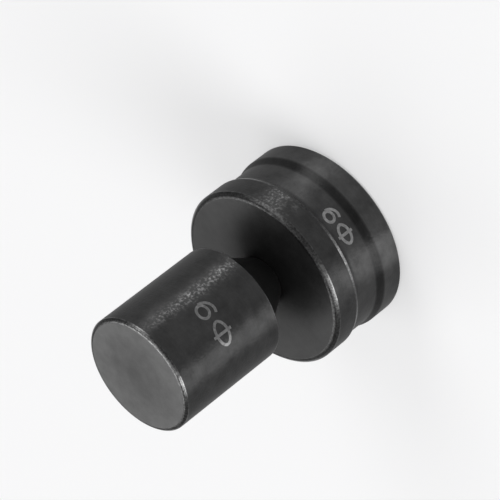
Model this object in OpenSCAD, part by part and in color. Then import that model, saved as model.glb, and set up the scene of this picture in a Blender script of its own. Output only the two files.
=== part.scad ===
// Punch and die set for round holes in plate, both pieces turned from tool steel.
// The die stands on its base at z = 0 and the punch rests in it, on the same vertical axis.
// All sizes are in millimetres.

/* [Die body] */
// Outside diameter across the two lands
die_d = 37; // [32:0.5:60]
// Height from the base to the cutting face
die_h = 18.3; // [16:0.1:30]
// Bevel on the edge of the cutting face
die_face_chamfer = 0.7; // [0.2:0.1:1.5]
// Bevel on the edge of the base
die_base_chamfer = 0.5; // [0.2:0.1:1.5]

/* [Die groove] */
// Height of the land beside the cutting face, with its bevel
face_land_h = 5.6; // [3:0.1:6.5]
// Height of the land beside the base, with its bevel
base_land_h = 5; // [3:0.1:6.5]
// Depth of the groove between the lands
groove_depth = 0.6; // [0.2:0.1:1]
// Height of the slope from the groove up to the face land
face_ramp_h = 0.8; // [0.6:0.1:1.5]
// Height of the slope from the groove down to the base land
base_ramp_h = 1.6; // [0.6:0.1:2]
// Radius where each slope runs into the floor of the groove
groove_fillet = 1.6; // [0.4:0.1:2]

/* [Die hole] */
// Gap between the punch tip and the cutting hole, all round
cutting_clearance = 0.3; // [0.1:0.05:0.6]
// Depth of the straight cutting hole below the face
cutting_land_h = 6; // [3:0.5:9]
// How much wider the slug passage is than the cutting hole, all round
slug_relief = 1.2; // [0.5:0.1:3]
// Height of the slope between the cutting hole and the slug passage
slug_step_h = 0.7; // [0.3:0.1:3]
// Bevel where the slug passage leaves the base
slug_mouth_chamfer = 0.5; // [0.2:0.1:1.5]

/* [Punch] */
// Diameter of the shank
shank_d = 24; // [20:0.5:30]
// Length of the shank
shank_l = 25; // [15:0.5:40]
// Bevel on the end of the shank
shank_end_chamfer = 0.5; // [0.2:0.1:1.5]
// Bevel on the shoulder of the shank
shoulder_chamfer = 0.3; // [0.1:0.1:0.8]
// Width of the flat shoulder ring around the cone
shoulder_w = 2.25; // [1.2:0.05:3.5]
// Half angle of the cone between shoulder and tip
cone_half_angle = 30; // [24:1:40]
// Radius where the cone meets the shoulder
shoulder_fillet = 0.6; // [0.2:0.1:1]
// Diameter of the cutting tip
tip_d = 9; // [6:0.1:12]
// Length of the straight cutting tip
tip_l = 12; // [8:0.5:16]
// Radius where the tip runs into the cone
tip_fillet = 1.5; // [0.5:0.1:2]

/* [Fit] */
// Space along the axis between the cone and the rim of the cutting hole, at rest
seat_gap = 0.1; // [0.05:0.05:0.3]

/* [Hidden] */
$fn = 160;

black_oxide = [0.17, 0.17, 0.18];

// Radii of the die, from the outside in
die_r = die_d / 2;
groove_r = die_r - groove_depth;
tip_r = tip_d / 2;
hole_r = tip_r + cutting_clearance;
slug_r = hole_r + slug_relief;

// Heights of the die, from the base up
groove_bottom_z = base_land_h + base_ramp_h;
groove_top_z = die_h - face_land_h - face_ramp_h;
cutting_land_z = die_h - cutting_land_h;

// The punch rests with its cone on the rim of the cutting hole
shank_r = shank_d / 2;
cone_r = shank_r - shoulder_w;
cone_l = (cone_r - tip_r) / tan(cone_half_angle);
shoulder_z = die_h + (cone_r - hole_r) / tan(cone_half_angle) + seat_gap;
shank_end_z = shoulder_z + shank_l;
cone_foot_z = shoulder_z - cone_l;
tip_end_z = cone_foot_z - tip_l;

// Share of its radius by which a fillet cuts into its two walls, so that it crosses each at a clear point
fillet_bite = 0.001;

// Direction from one point of a profile to another, as a unit vector
function towards(from, to) = (to - from) / norm(to - from);

// Centre of the arc that rounds an inside corner, between the walls to two neighbouring points
function fillet_centre(before, corner, after, radius) =
    let (
        wall_a = towards(corner, before),
        wall_b = towards(corner, after),
        half_angle = acos(wall_a * wall_b) / 2
    )
    corner + towards([0, 0], wall_a + wall_b) * radius / sin(half_angle);

// Points that fill such a corner as far as the centre of its arc, ready for the arc to be cut
function filled_corner(before, corner, after, radius) =
    let (
        wall_a = towards(corner, before),
        wall_b = towards(corner, after),
        reach = radius / tan(acos(wall_a * wall_b) / 2)
    )
    [corner + wall_a * reach, fillet_centre(before, corner, after, radius), corner + wall_b * reach];

// Disc whose edge is the arc of a rounded inside corner
module fillet_disc(before, corner, after, radius) {
    translate(fillet_centre(before, corner, after, radius))
        circle(r = radius * (1 + fillet_bite));
}

// Half section of the die: radius across, height up
module die_section() {
    face_land_edge = [die_r, die_h - face_land_h];
    groove_top = [groove_r, groove_top_z];
    groove_bottom = [groove_r, groove_bottom_z];
    base_land_edge = [die_r, base_land_h];
    difference() {
        polygon([
            [slug_r + slug_mouth_chamfer, 0],
            [die_r - die_base_chamfer, 0],
            [die_r, die_base_chamfer],
            base_land_edge,
            each filled_corner(base_land_edge, groove_bottom, groove_top, groove_fillet),
            each filled_corner(groove_bottom, groove_top, face_land_edge, groove_fillet),
            face_land_edge,
            [die_r, die_h - die_face_chamfer],
            [die_r - die_face_chamfer, die_h],
            [hole_r, die_h],
            [hole_r, cutting_land_z],
            [slug_r, cutting_land_z - slug_step_h],
            [slug_r, slug_mouth_chamfer]
        ]);
        fillet_disc(base_land_edge, groove_bottom, groove_top, groove_fillet);
        fillet_disc(groove_bottom, groove_top, face_land_edge, groove_fillet);
    }
}

// Half section of the punch: radius across, height up
module punch_section() {
    tip_edge = [tip_r, tip_end_z];
    cone_foot = [tip_r, cone_foot_z];
    cone_root = [cone_r, shoulder_z];
    shoulder_rim = [shank_r - shoulder_chamfer, shoulder_z];
    difference() {
        polygon([
            [0, tip_end_z],
            tip_edge,
            each filled_corner(tip_edge, cone_foot, cone_root, tip_fillet),
            each filled_corner(cone_foot, cone_root, shoulder_rim, shoulder_fillet),
            shoulder_rim,
            [shank_r, shoulder_z + shoulder_chamfer],
            [shank_r, shank_end_z - shank_end_chamfer],
            [shank_r - shank_end_chamfer, shank_end_z],
            [0, shank_end_z]
        ]);
        fillet_disc(tip_edge, cone_foot, cone_root, tip_fillet);
        fillet_disc(cone_foot, cone_root, shoulder_rim, shoulder_fillet);
    }
}

// Ring with a sharp-edged hole through it and a shallow groove round its outside
module die() {
    color(black_oxide)
        rotate_extrude()
            die_section();
}

// Round shank that narrows through a cone to the cutting tip
module punch() {
    color(black_oxide)
        rotate_extrude()
            punch_section();
}

die();
punch();
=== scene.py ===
# %% [markdown]
# # A blackened hole punch in its die
# The object is press tooling for round holes in plate: a punch with a plain shank, and the ring-shaped die
# that its tip enters. Both were turned on a lathe and then blackened in a hot bath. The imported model
# already holds their sizes and their places, so the lesson starts by loading it as a frame, and adds only
# the looks.

# %% Load the frame
import math

import bmesh
import bpy
from mathutils import Matrix, Vector
from mathutils.bvhtree import BVHTree


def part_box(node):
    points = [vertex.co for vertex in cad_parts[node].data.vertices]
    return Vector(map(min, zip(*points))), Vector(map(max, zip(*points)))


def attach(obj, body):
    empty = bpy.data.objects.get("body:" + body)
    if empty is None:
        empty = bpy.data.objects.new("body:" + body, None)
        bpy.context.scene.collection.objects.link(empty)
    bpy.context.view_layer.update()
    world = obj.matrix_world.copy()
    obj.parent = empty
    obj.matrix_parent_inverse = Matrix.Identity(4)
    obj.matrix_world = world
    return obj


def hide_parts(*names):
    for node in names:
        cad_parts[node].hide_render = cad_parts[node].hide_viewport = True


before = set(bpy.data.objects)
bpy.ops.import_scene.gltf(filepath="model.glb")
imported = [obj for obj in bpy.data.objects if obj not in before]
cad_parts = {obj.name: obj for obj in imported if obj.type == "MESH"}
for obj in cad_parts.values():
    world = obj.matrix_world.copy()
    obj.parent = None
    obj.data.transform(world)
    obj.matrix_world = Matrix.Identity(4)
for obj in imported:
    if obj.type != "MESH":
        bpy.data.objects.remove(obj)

MM = 0.001
scene = bpy.context.scene
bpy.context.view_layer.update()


def as_mm(lengths):
    """Returns lengths in millimetres, rounded for printing."""
    return [round(length / MM, 2) for length in lengths]


# %% [markdown]
# ## The camera
# The photograph looks down on the set from about a third of the way up, through a long lens, and the
# picture is turned so far that the shank points to the lower left. A camera could be aimed with a
# constraint, but a chain of four plain moves shows better what happens. A new camera looks straight down:
# it steps back along its view, turns the picture, tilts up to the photograph's angle, and is carried to
# the point it looks at.

# %% Place the camera
AIM = Vector((5.69, 0, 16.42)) * MM
CAMERA_DISTANCE = 556.9 * MM
CAMERA_ELEVATION = math.radians(33.11)
PICTURE_TURN = math.radians(-127.47)
LENS_MM = 215.8
SENSOR_MM = 36
# How far the camera sees, in metres, which is past the floor's far edge
SIGHT = 100

camera = bpy.data.objects.new("camera", bpy.data.cameras.new("camera"))
camera.data.lens = LENS_MM
camera.data.sensor_width = SENSOR_MM
camera.data.clip_end = SIGHT
tilt = Matrix.Rotation(math.pi / 2 - CAMERA_ELEVATION, 4, "X")
turn = Matrix.Rotation(PICTURE_TURN, 4, "Z")
step_back = Matrix.Translation((0, 0, CAMERA_DISTANCE))
camera.matrix_world = Matrix.Translation(AIM) @ tilt @ turn @ step_back
scene.collection.objects.link(camera)
scene.camera = camera
print("camera stands at", as_mm(camera.matrix_world.translation), "mm")

# %% [markdown]
# ## The floor
# A plain pale floor carries the set and its shadow. It could be a box or a bent backdrop, but the camera
# looks down, so a wide flat disc fills the whole picture. It lies a hair below the die's base, because two
# faces in one plane would flicker.

# %% Make the floor
FLOOR_RADIUS = 6.0
FLOOR_SIDES = 96
FLOOR_GAP = 0.05 * MM


def new_object(name, shape):
    """Makes an object of the scene from a bmesh, frees the bmesh and returns the object."""
    made = bpy.data.objects.new(name, bpy.data.meshes.new(name))
    shape.to_mesh(made.data)
    shape.free()
    scene.collection.objects.link(made)
    return made


disc = bmesh.new()
bmesh.ops.create_circle(disc, cap_ends=True, segments=FLOOR_SIDES, radius=FLOOR_RADIUS,
                        matrix=Matrix.Translation((0, 0, -FLOOR_GAP)))
floor = new_object("floor", disc)
print("floor disc of radius", FLOOR_RADIUS, "m")

# %% [markdown]
# ## Small helpers for shader nodes
# Every finish below is a node tree. In the editor its nodes are joined by hand, and in a script each link
# would be a line of its own. These helpers keep the cells short: an input takes either a plain value or
# the output of another node, and a new material hands back its tree and its shader.


# %% Node helpers
def feed(tree, node, values):
    """Feeds inputs of a node: an output of another node is linked, anything else is set as a value."""
    for name, value in values.items():
        if isinstance(value, bpy.types.NodeSocket):
            tree.links.new(value, node.inputs[name])
        else:
            node.inputs[name].default_value = value


def add_node(tree, kind, values=None, **settings):
    """Adds a node, sets its properties, feeds its inputs and returns it."""
    node = tree.nodes.new(kind)
    for name, setting in settings.items():
        setattr(node, name, setting)
    feed(tree, node, values or {})
    return node


def compute(tree, operation, *values, clamped=False):
    """Adds a math node on values or outputs, and returns its output."""
    node = add_node(tree, "ShaderNodeMath", dict(enumerate(values)), operation=operation, use_clamp=clamped)
    return node.outputs["Value"]


def new_material(name):
    """Returns a new material, its node tree and the Principled shader in it."""
    material = bpy.data.materials.new(name)
    material.use_nodes = True
    tree = material.node_tree
    return material, tree, tree.nodes["Principled BSDF"]


print("node helpers ready")

# %% [markdown]
# ## The floor's finish
# The floor is matt, so that it shows no mirror image of the set. Lit by lamps alone it would fade towards
# the corners of the picture, so half of what is seen of it is an even glow of its own colour. The Light
# Path node gives that half only to rays that come from the camera, off something glossy or through
# something clear. The glow therefore adds no light to the set, and the matt half still carries the shadow.

# %% Finish the floor
FLOOR_COLOUR = (0.87, 0.87, 0.875, 1)
EVEN_SHARE = 0.5

pale_floor, tree, shader = new_material("pale_floor")
feed(tree, shader, {"Base Color": FLOOR_COLOUR, "Roughness": 1, "Specular IOR Level": 0})
ray = add_node(tree, "ShaderNodeLightPath").outputs
seen = compute(tree, "ADD", ray["Is Camera Ray"], ray["Is Glossy Ray"], clamped=True)
seen_or_through = compute(tree, "ADD", seen, ray["Is Transmission Ray"], clamped=True)
even_part = compute(tree, "MULTIPLY", seen_or_through, EVEN_SHARE)
even = add_node(tree, "ShaderNodeEmission", {"Color": FLOOR_COLOUR})
both = add_node(tree, "ShaderNodeMixShader",
                {"Fac": even_part, 1: shader.outputs["BSDF"], 2: even.outputs["Emission"]})
feed(tree, tree.nodes["Material Output"], {"Surface": both.outputs["Shader"]})
floor.data.materials.append(pale_floor)
print("floor finish:", pale_floor.name)

# %% [markdown]
# ## Soft boxes
# A studio lights steel with soft boxes: lamps behind wide sheets of cloth. In Blender that is an area
# lamp, and its size matters as much as its power. The helper takes the brightness of the sheet instead of
# the power, so that a box can grow without becoming dazzling.

# %% Lamp helper
LAMP_DISTANCE = 4.0
# A lamp's power in watts is four times its area times the brightness of its face
POWER_PER_BRIGHTNESS = 4


def add_lamp(name, azimuth, elevation, width, height, brightness, lean=0):
    """Adds a soft box that faces the set from an azimuth and elevation in degrees; its sizes are in metres.

    The lean, in degrees, tips the box sideways as seen from the set.
    """
    light = bpy.data.lights.new(name, "AREA")
    light.shape = "RECTANGLE"
    light.size = width
    light.size_y = height
    light.energy = POWER_PER_BRIGHTNESS * width * height * brightness
    lamp = bpy.data.objects.new(name, light)
    a = math.radians(azimuth)
    e = math.radians(elevation)
    outward = Vector((math.cos(a) * math.cos(e), math.sin(a) * math.cos(e), math.sin(e)))
    lamp.location = AIM + outward * LAMP_DISTANCE
    upright = outward.to_track_quat("Z", "Y").to_matrix()
    lamp.rotation_euler = (upright @ Matrix.Rotation(math.radians(lean), 3, "Z")).to_euler()
    lamp.visible_camera = False
    scene.collection.objects.link(lamp)
    print(name, "lamp:", round(light.energy, 2), "W")


print("lamp helper ready")

# %% [markdown]
# ## The light
# Black steel shows little colour of its own: what the eye reads as its finish is the light that it
# mirrors. So each box is placed by what should mirror it. A raised box behind the set is what the flat
# faces show to the camera, and where the cone stands before it, its own dark image fans out over the die's
# face. Two tall boxes that lean, one on each side, lay soft bands along the round walls and glints on the
# bevels. A box overhead and an even sky fill in the rest and light the floor.

# %% Set the lamps and the sky
SKY_COLOUR = (1, 1, 1, 1)
SKY_LEVEL = 0.25

add_lamp("back_box", azimuth=90, elevation=50, width=3.6, height=2.0, brightness=1.9)
add_lamp("top_box", azimuth=90, elevation=70, width=3.3, height=3.3, brightness=0.75)
add_lamp("left_box", azimuth=-152, elevation=32, width=2.25, height=5.0, brightness=3.0, lean=18)
add_lamp("right_box", azimuth=-25, elevation=32, width=1.8, height=5.0, brightness=1.9, lean=-18)

sky = bpy.data.worlds.new("sky")
sky.use_nodes = True
feed(sky.node_tree, sky.node_tree.nodes["Background"], {"Color": SKY_COLOUR, "Strength": SKY_LEVEL})
scene.world = sky
scene.view_settings.view_transform = "Standard"
print("sky level", SKY_LEVEL)

# %% [markdown]
# ## Turning a section
# Each piece came off a lathe, and Blender's lathe is the spin operator: it carries a half section round
# the axis. Cylinders with Boolean cuts could make the same shapes, but they leave a ragged mesh, and a
# spun section leaves clean rings. The section needs only its corners. Each corner also has a rounding
# radius, because no real edge is perfectly sharp: half a millimetre or more where a corner is soft or
# worn, a quarter of one on most edges, and next to nothing on an edge that cuts. The bevel operator rounds
# the ring of edges that a corner leaves. The faces of the small roundings are marked, because they get a
# finish of their own.

# %% Lathe helpers
TURN_STEPS = 240
FILLET_SEGMENTS = 10
EDGE_SEGMENTS = 4
# A rounding above this is part of the walls beside it
LARGE_ROUNDING = 1.55 * MM
MERGE_DISTANCE = 0.0001 * MM
ON_RING = 0.001 * MM


def ring_edges(shape, radius, height):
    """Returns the edges of the ring at one radius and height."""
    on_ring = set()
    for vert in shape.verts:
        if abs(vert.co.z - height) < ON_RING and abs(vert.co.xy.length - radius) < ON_RING:
            on_ring.add(vert)
    return [edge for edge in shape.edges if on_ring.issuperset(edge.verts)]


def rounding_reach(corners, place, rounding):
    """Returns how far from a corner its rounding starts, along both walls."""
    corner, before, after = (Vector(corners[i % len(corners)][:2]) for i in (place, place - 1, place + 1))
    half_angle = (before - corner).angle(after - corner) / 2
    return rounding / math.tan(half_angle)


def spin_section(shape, corners, closed):
    """Draws the half section through the corners and spins it round the axis."""
    verts = [shape.verts.new((radius, 0, height)) for radius, height, rounding in corners]
    for start, end in zip(verts, verts[1:]):
        shape.edges.new((start, end))
    if closed:
        shape.edges.new((verts[-1], verts[0]))
    section = shape.verts[:] + shape.edges[:]
    bmesh.ops.spin(shape, geom=section, cent=(0, 0, 0), axis=(0, 0, 1), angle=2 * math.pi,
                   steps=TURN_STEPS, use_merge=True)
    bmesh.ops.remove_doubles(shape, verts=shape.verts[:], dist=MERGE_DISTANCE)
    bmesh.ops.recalc_face_normals(shape, faces=shape.faces[:])


def round_corners(shape, corners, rounded_edge):
    """Rounds the ring that each corner left, and marks the faces of the small roundings."""
    for place, (radius, height, rounding) in enumerate(corners):
        if rounding == 0:
            continue
        large = rounding > LARGE_ROUNDING
        rounded = bmesh.ops.bevel(
            shape, geom=ring_edges(shape, radius, height), affect="EDGES", offset_type="OFFSET",
            offset=rounding_reach(corners, place, rounding), profile=0.5, material=-1,
            segments=FILLET_SEGMENTS if large else EDGE_SEGMENTS)
        for face in rounded["faces"]:
            face[rounded_edge] = 0 if large else 1


def turn_piece(name, corners, closed):
    """Returns a piece that is turned from the half section through the corners.

    A corner is its radius, its height and its rounding. An open section starts and ends on the axis.
    """
    shape = bmesh.new()
    rounded_edge = shape.faces.layers.float.new("rounded_edge")
    spin_section(shape, corners, closed)
    round_corners(shape, corners, rounded_edge)
    return new_object(name, shape)


print("lathe helpers ready:", TURN_STEPS, "steps a turn")

# %% [markdown]
# ## The sizes of the die
# The die is a thick ring. Its outside has two lands with a shallow groove between them, and the groove's
# walls slope and run into its floor with a soft curve. The hole is straight and sharp below the face,
# where it cuts, and wider further down, so that the cut slugs fall freely. The outside sizes come from the
# frame, and the rest are named here.

# %% Name the sizes of the die
die_low, die_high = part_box("die")
DIE_R = die_high.x
DIE_H = die_high.z - die_low.z
FACE_BEVEL = 0.7 * MM
BASE_BEVEL = 0.5 * MM
FACE_LAND = 5.6 * MM
BASE_LAND = 5.0 * MM
FACE_RAMP = 0.8 * MM
BASE_RAMP = 1.6 * MM
GROOVE_DEPTH = 0.6 * MM
GROOVE_R = DIE_R - GROOVE_DEPTH
HOLE_R = 4.8 * MM
HOLE_DEPTH = 6.0 * MM
SLUG_R = 6.0 * MM
SLUG_STEP = 0.7 * MM
MOUTH_BEVEL = 0.5 * MM
print("die:", as_mm((2 * DIE_R, DIE_H)), "mm across and high")

# %% [markdown]
# ## The die
# The section runs round the ring's own outline: from the slug passage along the base, up the outside with
# its groove, over the face and down the hole. It is closed, so the spin makes a ring without end faces.

# %% Turn the die
WORN_EDGE = 0.25 * MM
CUTTING_EDGE = 0.02 * MM
FACE_EDGE = 1.2 * MM
GRIPPED_EDGE = 1.2 * MM
SOFT_EDGE = 1.7 * MM
GROOVE_ROUND = 1.6 * MM

die_corners = [
    (SLUG_R + MOUTH_BEVEL, 0, WORN_EDGE),
    (DIE_R - BASE_BEVEL, 0, WORN_EDGE),
    (DIE_R, BASE_BEVEL, WORN_EDGE),
    (DIE_R, BASE_LAND, SOFT_EDGE),
    (GROOVE_R, BASE_LAND + BASE_RAMP, GROOVE_ROUND),
    (GROOVE_R, DIE_H - FACE_LAND - FACE_RAMP, GROOVE_ROUND),
    (DIE_R, DIE_H - FACE_LAND, GRIPPED_EDGE),
    (DIE_R, DIE_H - FACE_BEVEL, WORN_EDGE),
    (DIE_R - FACE_BEVEL, DIE_H, FACE_EDGE),
    (HOLE_R, DIE_H, CUTTING_EDGE),
    (HOLE_R, DIE_H - HOLE_DEPTH, WORN_EDGE),
    (SLUG_R, DIE_H - HOLE_DEPTH - SLUG_STEP, WORN_EDGE),
    (SLUG_R, MOUTH_BEVEL, WORN_EDGE),
]
turned_die = turn_piece("turned_die", die_corners, closed=True)
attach(turned_die, "die")
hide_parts("die")
print("turned_die:", len(turned_die.data.polygons), "faces")

# %% [markdown]
# ## The sizes of the punch
# The punch is one bar: a plain shank that the press holds, a flat shoulder, a cone, and the cutting tip
# that is hidden in the die. The frame gives both ends and the shank's radius. The cone's foot follows from
# its angle.

# %% Name the sizes of the punch
punch_low, punch_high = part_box("punch")
SHANK_R = punch_high.x
SHANK_END = punch_high.z
TIP_END = punch_low.z
SHANK_LENGTH = 25 * MM
END_BEVEL = 0.5 * MM
SHOULDER_BEVEL = 0.3 * MM
SHOULDER_WIDTH = 2.25 * MM
CONE_HALF_ANGLE = math.radians(30)
TIP_R = 4.5 * MM
SHOULDER_Z = SHANK_END - SHANK_LENGTH
CONE_R = SHANK_R - SHOULDER_WIDTH
CONE_FOOT = SHOULDER_Z - (CONE_R - TIP_R) / math.tan(CONE_HALF_ANGLE)
print("punch: tip, foot of the cone and end at", as_mm((TIP_END, CONE_FOOT, SHANK_END)), "mm")

# %% [markdown]
# ## The punch
# This section starts and ends on the axis, where the spin closes both end faces. One corner on the shank
# has no rounding and changes no shape: it only leaves a ring of vertices, where the streak of scuffs and
# painted glint that comes later is strongest.

# %% Turn the punch
END_EDGE = 0.85 * MM
SHOULDER_ROUND = 0.6 * MM
TIP_ROUND = 1.5 * MM
GLINT_STREAK_PEAK_Z = 40 * MM

punch_corners = [
    (0, TIP_END, 0),
    (TIP_R, TIP_END, CUTTING_EDGE),
    (TIP_R, CONE_FOOT, TIP_ROUND),
    (CONE_R, SHOULDER_Z, SHOULDER_ROUND),
    (SHANK_R - SHOULDER_BEVEL, SHOULDER_Z, WORN_EDGE),
    (SHANK_R, SHOULDER_Z + SHOULDER_BEVEL, WORN_EDGE),
    (SHANK_R, GLINT_STREAK_PEAK_Z, 0),
    (SHANK_R, SHANK_END - END_BEVEL, WORN_EDGE),
    (SHANK_R - END_BEVEL, SHANK_END, END_EDGE),
    (0, SHANK_END, 0),
]
turned_punch = turn_piece("turned_punch", punch_corners, closed=False)
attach(turned_punch, "punch")
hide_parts("punch")
print("turned_punch:", len(turned_punch.data.polygons), "faces")

# %% [markdown]
# ## A check against the frame
# The turned pieces stand for the solids of the frame, so they may not stray from them. A BVH tree finds
# the nearest point of a surface quickly, and the longest such way over all vertices is the one that
# counts. It should be no more than what the worn edges take away.


# %% Measure both against the frame
def farthest_from(piece, node):
    """Returns the longest way, in metres, from a vertex of the piece to the surface of a frame node."""
    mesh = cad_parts[node].data
    verts = [vert.co for vert in mesh.vertices]
    surface = BVHTree.FromPolygons(verts, [face.vertices for face in mesh.polygons])
    return max(surface.find_nearest(vert.co)[3] for vert in piece.data.vertices)


for piece, node in ((turned_die, "die"), (turned_punch, "punch")):
    print(piece.name, "strays from", node, "by at most", round(farthest_from(piece, node) / MM, 3), "mm")

# %% [markdown]
# ## Where the black is worn, and where glints are painted
# Handling wears the black off the edges a little everywhere. The arcs where edges show the most bare steel,
# and the streak of small scuffs down one side of the shank and over the die's upper land, lie where the
# boxes' glints fall, so their bare steel is partly wear and partly a painted glint. Such marks could be
# painted by hand, but two short tables say where they are just as well, and a bell curve round the axis
# lets each place fade out.

# %% Arcs of wear and glint, and bands of scuffs and glint
FULL_TURN = 360
LEAST_RUB = 0.05
NEAR_RING = 0.45 * MM
# Radius and height of a ring, the middle and the spread of its arc of wear and painted glint in degrees,
# and its amount there
WEAR_AND_GLINT_ARCS = [
    (DIE_R, DIE_H - FACE_LAND, -110, 14, 1.15),
    (DIE_R, DIE_H - FACE_BEVEL, -121, 11, 0.6),
    (SHANK_R - END_BEVEL, SHANK_END, -75, 48, 0.28),
    (SHANK_R, SHANK_END - END_BEVEL, -121, 10, 0.6),
    (SHANK_R, SHANK_END - END_BEVEL, -56, 10, 0.42),
    (SHANK_R, SHOULDER_Z + SHOULDER_BEVEL, -118, 14, 0.7),
]
# Lowest and highest place of a scuffed wall, the middle and the spread of its band of scuffs and painted
# glint in degrees, and how much of it there is at both places
SCUFF_AND_GLINT_BANDS = [
    (SHOULDER_Z, GLINT_STREAK_PEAK_Z, -61, 5.5, 1, 1.25),
    (GLINT_STREAK_PEAK_Z, SHANK_END, -61, 5.5, 1.25, 0.1),
    (DIE_H - FACE_LAND, DIE_H, -58, 9, 0.9, 0.7),
]


def turn_share(place):
    """Returns how far round the axis a place is, as a share of a turn."""
    return math.atan2(place.y, place.x) / (2 * math.pi)


def fade(place, middle, spread):
    """Returns 1 at the middle angle and less on both sides of it; the angles are in degrees."""
    return math.exp(-((FULL_TURN * turn_share(place) - middle) / spread) ** 2)


def near_ring(place, radius, height):
    """Tells whether a place is on or beside the ring at one radius and height."""
    return math.hypot(place.xy.length - radius, place.z - height) < NEAR_RING


def edge_wear_and_glint_at(place):
    """Returns how much bare steel an edge shows at a place, from wear and painted glints: 0 is none, 1 or
    more is all.
    """
    wear_and_glint = LEAST_RUB
    for radius, height, middle, spread, most in WEAR_AND_GLINT_ARCS:
        if near_ring(place, radius, height):
            wear_and_glint = max(wear_and_glint, most * fade(place, middle, spread))
    return wear_and_glint


def scuff_and_glint_at(place):
    """Returns how many specks of scuffs and painted glint a wall shows at a place: 0 is none, 1 or more is
    all its specks.
    """
    for low, high, middle, spread, low_scuff, high_scuff in SCUFF_AND_GLINT_BANDS:
        if low <= place.z <= high:
            most = low_scuff + (high_scuff - low_scuff) * (place.z - low) / (high - low)
            return most * fade(place, middle, spread)
    return 0


print(len(WEAR_AND_GLINT_ARCS), "rubbed arcs and", len(SCUFF_AND_GLINT_BANDS), "scuffed bands")

# %% [markdown]
# ## Where the black is lighter or darker, and where shade is painted
# The black is not even. The groove's floor and the land below it are lighter, and the end of the shank is
# darker towards its middle. The rest is painted shade: the groove's lower slope and, a little, the slope
# under the upper land, two edges of the die, above its groove and round its face, and the die's face
# towards the punch. All this could be painted by hand too, but a function of the place follows the sizes
# above. Each one gives the tone as a share of the usual one.

# %% Tones of the black
USUAL_TONE = 1
BASE_LAND_TONE = 1.45
GROOVE_TONE = 1.25
# Painted shade: the groove's lower slope, which faces up, and the slope under the upper land
PAINTED_SLOPE_SHADE = 0.6
PAINTED_UNDERSIDE_SHADE = 0.95
# The upward part of a normal at which a wall counts as a full slope
FULL_SLOPE = 0.3
# Radius and height of the edges with painted shade, and their tones
PAINTED_SHADE_EDGES = [
    (DIE_R, DIE_H - FACE_LAND, 0.5),
    (DIE_R - FACE_BEVEL, DIE_H, 0.65),
]
# Tones of a flat face at its inner edge and at its rim; on the die's face the darker inner edge is painted
# shade where the punch stands
DIE_FACE_PAINTED_SHADE = (0.68, 1.08)
END_FACE_TONES = (0.72, 1.18)


def wall_tone(place, normal):
    """Returns the tone of a wall, which changes to the painted shade of a slope as the wall leans."""
    level = USUAL_TONE
    if place.z < BASE_LAND:
        level = BASE_LAND_TONE
    elif place.z < DIE_H - FACE_LAND:
        level = GROOVE_TONE
    slope_shade = PAINTED_SLOPE_SHADE if normal.z > 0 else PAINTED_UNDERSIDE_SHADE
    return level + min(abs(normal.z) / FULL_SLOPE, 1) * (slope_shade - level)


def face_tone(place, tones, radii):
    """Returns the tone of a flat face, which changes evenly from its inner edge to its rim."""
    share = (place.xy.length - radii[0]) / (radii[1] - radii[0])
    return tones[0] + (tones[1] - tones[0]) * share


def edge_tone(place):
    """Returns the tone of an edge, which is lower where shade is painted on it."""
    for radius, height, tone in PAINTED_SHADE_EDGES:
        if near_ring(place, radius, height):
            return tone
    return USUAL_TONE


print("tones of the die's face:", DIE_FACE_PAINTED_SHADE, "and of the shank's end:", END_FACE_TONES)

# %% [markdown]
# ## A map for the tool marks
# A turning tool leaves fine rings, and light spreads across such rings far more than along them. The
# shader has to know which way they run, so each piece gets a UV map laid out like the lathe: U is the way
# along the section, in millimetres, and V is the share of a turn. The flat faces measure U by radius, the
# walls by height. The same pass sorts the faces by finish, and notes at every corner of a face its wear
# and painted glints, and its tone, painted shade included.

# %% Map helpers
WALL, FACE, EDGE, INNER = range(4)
# The upward part of a normal from which a face is a bevel, and from which it is flat
BEVEL_FROM = 0.65
FLAT_FROM = 0.9
# A bevel's share of the wear and painted glints of its ring
BEVEL_WEAR_AND_GLINT = 0.45
HALF_TURN = 0.5


def finish_of(face, is_rounded, is_inner):
    """Returns the material place of a face of a turned piece."""
    lean = abs(face.normal.z)
    if is_inner(face.calc_center_median()):
        return INNER
    if is_rounded or BEVEL_FROM < lean < FLAT_FROM:
        return EDGE
    return FACE if lean > FLAT_FROM else WALL


def lathe_place(place, flat, middle_turn):
    """Returns a place on the lathe's map, within half a turn of the middle of its face."""
    radius = place.xy.length
    turned = turn_share(place) if radius > MERGE_DISTANCE else middle_turn
    turned = middle_turn + (turned - middle_turn + HALF_TURN) % 1 - HALF_TURN
    return (radius if flat else place.z) / MM, turned


def wear_and_glint_at(finish, place, is_rounded):
    """Returns the wear and painted glints of an edge, or the scuffs and painted glints of a wall, at a
    place; other faces have none.
    """
    if finish == EDGE:
        return edge_wear_and_glint_at(place) * (1 if is_rounded else BEVEL_WEAR_AND_GLINT)
    return scuff_and_glint_at(place) if finish == WALL else 0


def tone_at(finish, place, normal, face_tones, face_radii):
    """Returns the tone at a place of a face with one finish."""
    if finish == WALL:
        return wall_tone(place, normal)
    if finish == FACE:
        return face_tone(place, face_tones, face_radii)
    return edge_tone(place) if finish == EDGE else USUAL_TONE


print("map helpers ready")

# %% [markdown]
# ## Mapping and smoothing
# Now both pieces are mapped. Smooth shading would bend the light over the whole flat face next to each
# rounded edge. Sharp edges would stop that, but they would also break the glint on the rounding. So a
# Weighted Normal modifier lets the large faces keep their own direction.

# %% Map and smooth the pieces
LARGE_FACES_LEAD = 100


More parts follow.
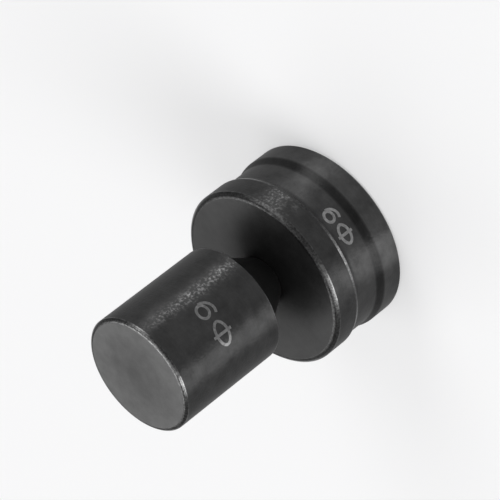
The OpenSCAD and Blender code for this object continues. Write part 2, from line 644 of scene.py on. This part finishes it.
def lathe_map(piece, is_inner, face_tones, face_radii):
    """Lays the UV map of a turned piece, sorts its faces by finish and notes their tone, with painted
    shade, and their wear, with painted glints.
    """
    shape = bmesh.new()
    shape.from_mesh(piece.data)
    shape.normal_update()
    uv = shape.loops.layers.uv.new("lathe")
    wear_and_glint = shape.loops.layers.float.new("wear_and_glint")
    tone = shape.loops.layers.float.new("tone")
    rounded_edge = shape.faces.layers.float["rounded_edge"]
    for face in shape.faces:
        is_rounded = face[rounded_edge] > 0
        finish = finish_of(face, is_rounded, is_inner)
        flat = abs(face.normal.z) > FLAT_FROM
        middle_turn = turn_share(face.calc_center_median())
        face.material_index = finish
        face.smooth = True
        for loop in face.loops:
            place = loop.vert.co
            loop[uv].uv = lathe_place(place, flat, middle_turn)
            loop[wear_and_glint] = wear_and_glint_at(finish, place, is_rounded)
            loop[tone] = tone_at(finish, place, loop.vert.normal, face_tones, face_radii)
    shape.to_mesh(piece.data)
    shape.free()
    even_shading = piece.modifiers.new("even_shading", "WEIGHTED_NORMAL")
    even_shading.mode = "FACE_AREA"
    even_shading.weight = LARGE_FACES_LEAD


def in_die_hole(place):
    """Tells whether a place is inside the die's hole."""
    return place.xy.length < SLUG_R + MOUTH_BEVEL and place.z < DIE_H - CUTTING_EDGE


def below_shoulder(place):
    """Tells whether a place is on the punch's cone or tip."""
    return place.z < SHOULDER_Z


lathe_map(turned_die, in_die_hole, DIE_FACE_PAINTED_SHADE, (HOLE_R, DIE_R))
lathe_map(turned_punch, below_shoulder, END_FACE_TONES, (0, SHANK_R))
for piece in (turned_die, turned_punch):
    finishes = [face.material_index for face in piece.data.polygons]
    print(piece.name, "faces by finish:", [finishes.count(finish) for finish in (WALL, FACE, EDGE, INNER)])

# %% [markdown]
# ## The strokes of the size marks
# Both pieces carry their hole size, a diameter sign and a nine, burnt into the black by a laser. Letters
# could come from a text object, but these strokes are simple ovals and bars, so they are drawn: an oval
# disc is inset by the width of the stroke and its middle deleted, which leaves an even band. A cut with a
# plane takes away a part of a band.

# %% Stroke helpers
OVAL_STEPS = 64
# How near a cut a vertex counts as on it, as a share of the mark's height
ON_CUT = 0.0001


def part_of(faces):
    """Returns faces with their edges and vertices, as the cutting operators want them."""
    edges = {edge for face in faces for edge in face.edges}
    verts = {vert for face in faces for vert in face.verts}
    return [*faces, *edges, *verts]


def oval_band(shape, middle, half_width, half_height, stroke, layer):
    """Adds an even oval band, flat in X and Y, and returns its faces."""
    oval = bmesh.ops.create_circle(shape, cap_ends=True, segments=OVAL_STEPS, radius=1)["verts"]
    bmesh.ops.scale(shape, verts=oval, vec=(half_width + stroke / 2, half_height + stroke / 2, 1))
    bmesh.ops.translate(shape, verts=oval, vec=(*middle, layer))
    inside = oval[0].link_faces[0]
    band = bmesh.ops.inset_region(shape, faces=[inside], thickness=stroke, use_boundary=True,
                                  use_even_offset=True)["faces"]
    bmesh.ops.delete(shape, geom=[inside], context="FACES")
    return band


def cut_away(shape, faces, point, angle):
    """Removes what lies clockwise of a line from a point at an angle in degrees."""
    a = math.radians(angle)
    bmesh.ops.bisect_plane(shape, geom=part_of(faces), dist=ON_CUT, plane_co=(*point, 0),
                           plane_no=(math.sin(a), -math.cos(a), 0), clear_outer=True)


print("stroke helpers ready")

# %% [markdown]
# ## The two signs
# The signs are drawn flat, and their lengths are shares of the mark's height. The diameter sign is an oval
# ring with a bar through it. The nine is a small ring with a tail, and the tail is an oval band with two
# cuts. Where two strokes overlap, one lies a step higher, because faces in one plane would flicker.

# %% Sign helpers
SIGN_PLACE = -0.6
SIGN_HALF_WIDTH = 0.54
SIGN_HALF_HEIGHT = 0.315
BAR_HALF_LENGTH = 0.5
BAR_SEGMENTS = 8
NINE_PLACE = 0.6
LOOP_HALF_WIDTH = 0.315
LOOP_HALF_HEIGHT = 0.27
LOOP_RISE = 0.175
TAIL_HALF_WIDTH = 0.46
TAIL_HALF_HEIGHT = 0.5
TAIL_SHIFT = -0.09
TAIL_RISE = 0.115
TAIL_CUTS = (180, -120)


def draw_sign(shape, stroke, step):
    """Draws the diameter sign, with its bar a step above its ring."""
    oval_band(shape, (SIGN_PLACE, 0), SIGN_HALF_WIDTH, SIGN_HALF_HEIGHT, stroke, 0)
    bar = bmesh.ops.create_grid(shape, x_segments=1, y_segments=BAR_SEGMENTS, size=BAR_HALF_LENGTH)["verts"]
    bmesh.ops.scale(shape, verts=bar, vec=(stroke, 1, 1))
    bmesh.ops.translate(shape, verts=bar, vec=(SIGN_PLACE, 0, step))


def draw_nine(shape, stroke, step):
    """Draws the nine, with its tail a step above its loop."""
    oval_band(shape, (NINE_PLACE, LOOP_RISE), LOOP_HALF_WIDTH, LOOP_HALF_HEIGHT, stroke, 0)
    middle = (NINE_PLACE + TAIL_SHIFT, TAIL_RISE)
    tail = oval_band(shape, middle, TAIL_HALF_WIDTH, TAIL_HALF_HEIGHT, stroke, step)
    tail_verts = {vert for face in tail for vert in face.verts}
    for angle in TAIL_CUTS:
        tail = [face for face in shape.faces if tail_verts.intersection(face.verts)]
        cut_away(shape, tail, middle, angle)


print("sign helpers ready")

# %% [markdown]
# ## The size marks
# A burnt mark has no height that a finger would feel, but faces on the wall itself would flicker. So the
# flat signs are turned to face one way, get a very small thickness and are bent round the wall, with most
# of it sunk in. They take the wall's UV map with them, because they share its gloss.

# %% Make the marks
STROKE_LIFT = 0.012 * MM
STROKE_STEP = 0.003 * MM
STROKE_DEPTH = 0.03 * MM
SHANK_MARK_HEIGHT = 4.3 * MM
SHANK_STROKE = 0.55 * MM
SHANK_MARK_ANGLE = math.radians(-92.6)
SHANK_MARK_Z = 39.35 * MM
DIE_MARK_HEIGHT = 3.55 * MM
DIE_STROKE = 0.57 * MM
DIE_MARK_ANGLE = math.radians(-91.3)
DIE_MARK_Z = 9.39 * MM


def bend_round(shape, wall_radius, middle_angle, middle_z):
    """Bends a flat shape round a wall: X goes round the axis, Y up and Z outwards."""
    for vert in shape.verts:
        angle = middle_angle + vert.co.x / wall_radius
        radius = wall_radius + STROKE_LIFT + vert.co.z
        vert.co = (radius * math.cos(angle), radius * math.sin(angle), middle_z + vert.co.y)


def size_mark(name, height, stroke_width, wall_radius, middle_angle, middle_z):
    """Returns a diameter sign and a nine of one height, bent round a wall and centred on it."""
    shape = bmesh.new()
    uv = shape.loops.layers.uv.new("lathe")
    draw_sign(shape, stroke_width / height, STROKE_STEP / height)
    draw_nine(shape, stroke_width / height, STROKE_STEP / height)
    shape.normal_update()
    bmesh.ops.reverse_faces(shape, faces=[face for face in shape.faces if face.normal.z < 0])
    bmesh.ops.scale(shape, verts=shape.verts[:], vec=(height, height, height))
    bmesh.ops.solidify(shape, geom=shape.faces[:], thickness=STROKE_DEPTH)
    bend_round(shape, wall_radius, middle_angle, middle_z)
    for face in shape.faces:
        for loop in face.loops:
            loop[uv].uv = (loop.vert.co.z / MM, turn_share(loop.vert.co))
    return new_object(name, shape)


punch_mark = size_mark("punch_size_mark", SHANK_MARK_HEIGHT, SHANK_STROKE,
                       SHANK_R, SHANK_MARK_ANGLE, SHANK_MARK_Z)
die_mark = size_mark("die_size_mark", DIE_MARK_HEIGHT, DIE_STROKE,
                     GROOVE_R, DIE_MARK_ANGLE, DIE_MARK_Z)
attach(punch_mark, "punch")
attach(die_mark, "die")
for mark in (punch_mark, die_mark):
    print(mark.name, "has", len(mark.data.polygons), "faces")

# %% [markdown]
# ## The tool's rings
# Two effects come back in several finishes, so each is a node group, built once. The first one is the
# rings that the tool left. A wave texture could draw them, but it repeats too evenly, so they are noise
# that changes only along the section. The group puts out a tone that swings about one, so a finish can
# simply be multiplied by it.

# %% Tool marks group
NOISE_MIDDLE = 0.5


def new_group(name, inputs, outputs):
    """Returns an empty shader group and its two ends; the inputs come with their kinds."""
    group = bpy.data.node_groups.new(name, "ShaderNodeTree")
    for socket, kind in inputs.items():
        group.interface.new_socket(socket, in_out="INPUT", socket_type=kind)
    for socket in outputs:
        group.interface.new_socket(socket, in_out="OUTPUT", socket_type="NodeSocketFloat")
    return group, add_node(group, "NodeGroupInput"), add_node(group, "NodeGroupOutput")


tool_marks, ends_in, ends_out = new_group(
    "tool_marks",
    {"Along": "NodeSocketFloat", "Lines per mm": "NodeSocketFloat", "Depth": "NodeSocketFloat"},
    ["Tone"])
rings = add_node(tool_marks, "ShaderNodeTexNoise", {"Detail": 3, "Roughness": 0.6}, noise_dimensions="1D")
feed(tool_marks, rings, {"W": ends_in.outputs["Along"], "Scale": ends_in.outputs["Lines per mm"]})
about_zero = compute(tool_marks, "SUBTRACT", rings.outputs["Fac"], NOISE_MIDDLE)
about_one = compute(tool_marks, "MULTIPLY_ADD", about_zero, ends_in.outputs["Depth"], USUAL_TONE)
feed(tool_marks, ends_out, {"Tone": about_one})
print("group", tool_marks.name, "made")

# %% [markdown]
# ## The oxide's skin
# The second effect is the skin of the oxide. An image of it would end in a seam on a round piece, and
# noise has no seam. Three noises of different size make it: soft clouds a few millimetres across, a fine
# grain, and specks, which show where a scuff breaks through and where a glint is painted. The specks are
# multiplied by the clouds, so that they come in clumps.

# %% Oxide skin group
CLOUD_PER_MM = 0.3
GRAIN_PER_MM = 2.4
SPECKS_PER_MM = 1.9
CLOUD_RANGE = (0.3, 0.7)
SPECK_RANGE = (0.48, 0.66)


def noise_at(tree, place, per_mm, detail, roughness=0.5):
    """Adds noise at a place in millimetres and returns its value."""
    values = {"Vector": place, "Scale": per_mm, "Detail": detail, "Roughness": roughness}
    return add_node(tree, "ShaderNodeTexNoise", values).outputs["Fac"]


def map_range(tree, value, start=(0, 1), end=(0, 1)):
    """Carries a value from the start range to the end range, holds it within that, and returns it."""
    limits = {"From Min": start[0], "From Max": start[1], "To Min": end[0], "To Max": end[1]}
    return add_node(tree, "ShaderNodeMapRange", {"Value": value, **limits}).outputs["Result"]


oxide_skin, ends_in, ends_out = new_group(
    "oxide_skin", {"Place": "NodeSocketVector"}, ["Cloud", "Grain", "Specks"])
place = ends_in.outputs["Place"]
cloud_noise = noise_at(oxide_skin, place, CLOUD_PER_MM, detail=5, roughness=0.65)
cloud = map_range(oxide_skin, cloud_noise, CLOUD_RANGE)
grain = noise_at(oxide_skin, place, GRAIN_PER_MM, detail=2, roughness=0.6)
speck_noise = noise_at(oxide_skin, place, SPECKS_PER_MM, detail=3, roughness=0.6)
specks = map_range(oxide_skin, speck_noise, SPECK_RANGE)
clumps = compute(oxide_skin, "MULTIPLY", specks, cloud)
feed(oxide_skin, ends_out, {"Cloud": cloud, "Grain": grain, "Specks": clumps})
print("group", oxide_skin.name, "made")

# %% [markdown]
# ## Places, notes and gloss
# Every finish reads the same few things, so each gets a helper: the place on the object in millimetres,
# the skin there, and what the piece notes about its tone, painted shade included, and its wear and
# painted glints. The last helper stretches the gloss across the tool's rings, which run at right angles
# to U.

# %% Finish helpers
TO_MM = 1 / MM


def grey(level):
    """Returns a neutral colour."""
    return (level, level, level, 1)


def place_in_mm(tree):
    """Adds Object coordinates in millimetres and returns them."""
    place = add_node(tree, "ShaderNodeTexCoord").outputs["Object"]
    scaled = add_node(tree, "ShaderNodeVectorMath", {0: place, "Scale": TO_MM}, operation="SCALE")
    return scaled.outputs["Vector"]


def skin_on(tree, place):
    """Adds the oxide skin at a place and returns its outputs."""
    return add_node(tree, "ShaderNodeGroup", {"Place": place}, node_tree=oxide_skin).outputs


def noted(tree, name):
    """Adds a node that reads what the piece notes under a name, and returns its value."""
    return add_node(tree, "ShaderNodeAttribute", attribute_name=name).outputs["Fac"]


def mix_colours(tree, factor, first, second, way="MIX"):
    """Adds a mix of two colours in one of Blender's ways, and returns it."""
    values = {"Factor": factor, "A": first, "B": second}
    return add_node(tree, "ShaderNodeMix", values, data_type="RGBA", blend_type=way).outputs["Result"]


def shade(tree, colour, tone):
    """Multiplies a colour by a tone and returns it."""
    return mix_colours(tree, 1, colour, tone, "MULTIPLY")


def bump_of(tree, height, distance):
    """Adds a bump from a height, at most as deep as a distance in metres, and returns its normal."""
    return add_node(tree, "ShaderNodeBump", {"Height": height, "Distance": distance}).outputs["Normal"]


def stretch_gloss(tree, shader, anisotropy):
    """Stretches the gloss of a shader along U of the lathe's map."""
    tangent = add_node(tree, "ShaderNodeTangent", direction_type="UV_MAP", uv_map="lathe")
    feed(tree, shader, {"Anisotropic": anisotropy, "Tangent": tangent.outputs["Tangent"]})


print("finish helpers ready")

# %% [markdown]
# ## Black oxide on turned steel
# The oxide is a thin dark skin with a dull gloss. A plain black would shine like plastic, so the shader is
# a metal, or nearly one, whose colour is almost black. Its tone comes from the clouds, the tool's rings
# and the noted tone, which includes painted shade, and specks of steel lie over it where it is scuffed and
# where a glint is painted. On the walls the rings spread the gloss along the axis, and a darker tint at
# grazing angles keeps the outer limbs black.

# %% Black steel helpers
# The colour of the specks, for scuffs and for painted glints
SCUFF_AND_GLINT_STEEL = 0.38


def oxide_tone(tree, skin, dark, light, lines_per_mm, ring_depth):
    """Returns the colour of the oxide: clouds between two tones, with rings and the noted tone, which
    includes painted shade.
    """
    lathe = add_node(tree, "ShaderNodeUVMap", uv_map="lathe")
    along = add_node(tree, "ShaderNodeSeparateXYZ", {"Vector": lathe.outputs["UV"]}).outputs["X"]
    values = {"Along": along, "Lines per mm": lines_per_mm, "Depth": ring_depth}
    rings = add_node(tree, "ShaderNodeGroup", values, node_tree=tool_marks).outputs["Tone"]
    oxide = mix_colours(tree, skin["Cloud"], grey(dark), grey(light))
    return shade(tree, oxide, compute(tree, "MULTIPLY", noted(tree, "tone"), rings))


def scuffed_and_glinting(tree, skin, colour):
    """Returns a colour with specks of steel where the piece is scuffed and where a glint is painted."""
    speck_and_glint = compute(tree, "MULTIPLY", noted(tree, "wear_and_glint"), skin["Specks"])
    return mix_colours(tree, speck_and_glint, colour, grey(SCUFF_AND_GLINT_STEEL))


def black_steel(name, dark, light, metal, gloss, roughness, anisotropy, lines_per_mm, ring_depth,
                grain_height, edge_tint=1):
    """Returns a black oxide finish. Its tone and roughness vary with the clouds; heights are in metres."""
    material, tree, shader = new_material(name)
    skin = skin_on(tree, place_in_mm(tree))
    tone = oxide_tone(tree, skin, dark, light, lines_per_mm, ring_depth)
    feed(tree, shader, {
        "Base Color": scuffed_and_glinting(tree, skin, tone),
        "Roughness": map_range(tree, skin["Cloud"], end=roughness),
        "Normal": bump_of(tree, skin["Grain"], grain_height),
        "Metallic": metal,
        "Specular IOR Level": gloss,
        "Specular Tint": grey(edge_tint),
    })
    stretch_gloss(tree, shader, anisotropy)
    print("finish", name, "made")
    return material


print("black steel helpers ready")

# %% [markdown]
# ## Four black finishes
# The turned walls have clear rings and a stretched gloss. The die's face and the end of the shank were
# ground, so their gloss is even and their rings hardly show, and the end has worn to a lighter grey. The
# cone, the tip and the hole are the same oxide, but they are seen in shadow, so they get a darker copy of
# it: painted shade. One material with masks could hold all four, but four from one function keep the
# values of each in sight.

# %% Make the black finishes
turned_black = black_steel(
    "turned_black", dark=0.043, light=0.077, metal=1, gloss=0.5, roughness=(0.36, 0.4), anisotropy=1.0,
    lines_per_mm=2.5, ring_depth=0.2, grain_height=0.04 * MM, edge_tint=0.76)
faced_black = black_steel(
    "faced_black", dark=0.038, light=0.053, metal=0.86, gloss=0.3, roughness=(0.38, 0.44), anisotropy=0.0,
    lines_per_mm=1, ring_depth=0.05, grain_height=0.02 * MM)
ground_end = black_steel(
    "ground_end", dark=0.083, light=0.123, metal=0.9, gloss=0.5, roughness=(0.52, 0.58), anisotropy=0.0,
    lines_per_mm=1, ring_depth=0.05, grain_height=0.02 * MM)
# Painted shade: a darker copy of the black for the cone, the tip and the hole
inner_painted_shade = black_steel(
    "inner_painted_shade", dark=0.027, light=0.037, metal=0.7, gloss=0.3, roughness=(0.36, 0.42), anisotropy=0.0,
    lines_per_mm=3, ring_depth=0.2, grain_height=0.02 * MM)

# %% [markdown]
# ## Rubbed edges, with painted glints and shade
# Bevels and rounded edges are the places that touch sockets, hands and boxes. There the oxide is smoother,
# and bare steel comes through in patches. A shader can find edges by itself, but it would wear them all
# alike, so this one reads from the piece's own note how much bare steel an edge shows. Besides wear, that
# note holds painted glints, on arcs where the boxes' glints fall, and the noted tone darkens two edges of
# the die with painted shade. Soft patches break that up, since no edge wears evenly, and the skin's fine
# grain mottles both the black and the bare steel.

# %% Make the edge finish
EDGE_BLACK = 0.056
# The colour of bare steel, on worn edges and in the painted glints
BARE_STEEL_AND_GLINT = 0.5
EDGE_ROUGHNESS = 0.33
EDGE_GRAIN_HEIGHT = 0.01 * MM
PATCH_PER_MM = 0.8
PATCH_RANGE = (0.15, 0.65)
# The range of the grain, and the shares of a tone that it gives
MOTTLE_FROM = (0.35, 0.65)
MOTTLE_TO = (0.6, 1.4)

worn_and_glinting_edge, tree, shader = new_material("worn_and_glinting_edge")
place = place_in_mm(tree)
grain = skin_on(tree, place)["Grain"]
mottle = map_range(tree, grain, MOTTLE_FROM, MOTTLE_TO)
patches = map_range(tree, noise_at(tree, place, PATCH_PER_MM, detail=3), PATCH_RANGE)
patchy_wear_and_glint = compute(tree, "MULTIPLY", patches, noted(tree, "wear_and_glint"))
bare_and_glint = compute(tree, "MULTIPLY", patchy_wear_and_glint, mottle)
tone = compute(tree, "MULTIPLY", mottle, noted(tree, "tone"))
black = shade(tree, grey(EDGE_BLACK), tone)
feed(tree, shader, {
    "Base Color": mix_colours(tree, bare_and_glint, black, grey(BARE_STEEL_AND_GLINT)),
    "Normal": bump_of(tree, grain, EDGE_GRAIN_HEIGHT),
    "Roughness": EDGE_ROUGHNESS,
    "Metallic": 1,
})
print("finish", worn_and_glinting_edge.name, "made")

# %% [markdown]
# ## Dressing the pieces
# The faces were sorted by finish above, and a face finds its material by its place in the piece's list. So
# the finishes are added in the order of those places: wall, flat face, edge, inside.

# %% Dress the pieces
for piece, face_finish in ((turned_die, faced_black), (turned_punch, ground_end)):
    for finish in (turned_black, face_finish, worn_and_glinting_edge, inner_painted_shade):
        piece.data.materials.append(finish)
    print(piece.name, "finishes:", [finish.name for finish in piece.data.materials])

# %% [markdown]
# ## The burnt marks
# The laser burns the oxide away, so its strokes show dull bare steel, slightly uneven along the stroke.
# They keep the stretched gloss of the wall around them, only several times lighter. The die's mark is
# burnt further than the punch's.

# %% Make the mark finishes
MARK_ROUGHNESS = 0.38
MARK_GRAIN_PER_MM = 2


def burnt_steel(name, dark, light):
    """Returns the finish of a burnt mark, between two tones."""
    material, tree, shader = new_material(name)
    speckle = noise_at(tree, place_in_mm(tree), MARK_GRAIN_PER_MM, detail=2)
    tone = mix_colours(tree, speckle, grey(dark), grey(light))
    feed(tree, shader, {"Base Color": tone, "Roughness": MARK_ROUGHNESS, "Metallic": 1})
    stretch_gloss(tree, shader, anisotropy=1)
    print("finish", name, "made")
    return material


punch_mark.data.materials.append(burnt_steel("burnt_punch", dark=0.08, light=0.36))
die_mark.data.materials.append(burnt_steel("burnt_die", dark=0.15, light=0.48))
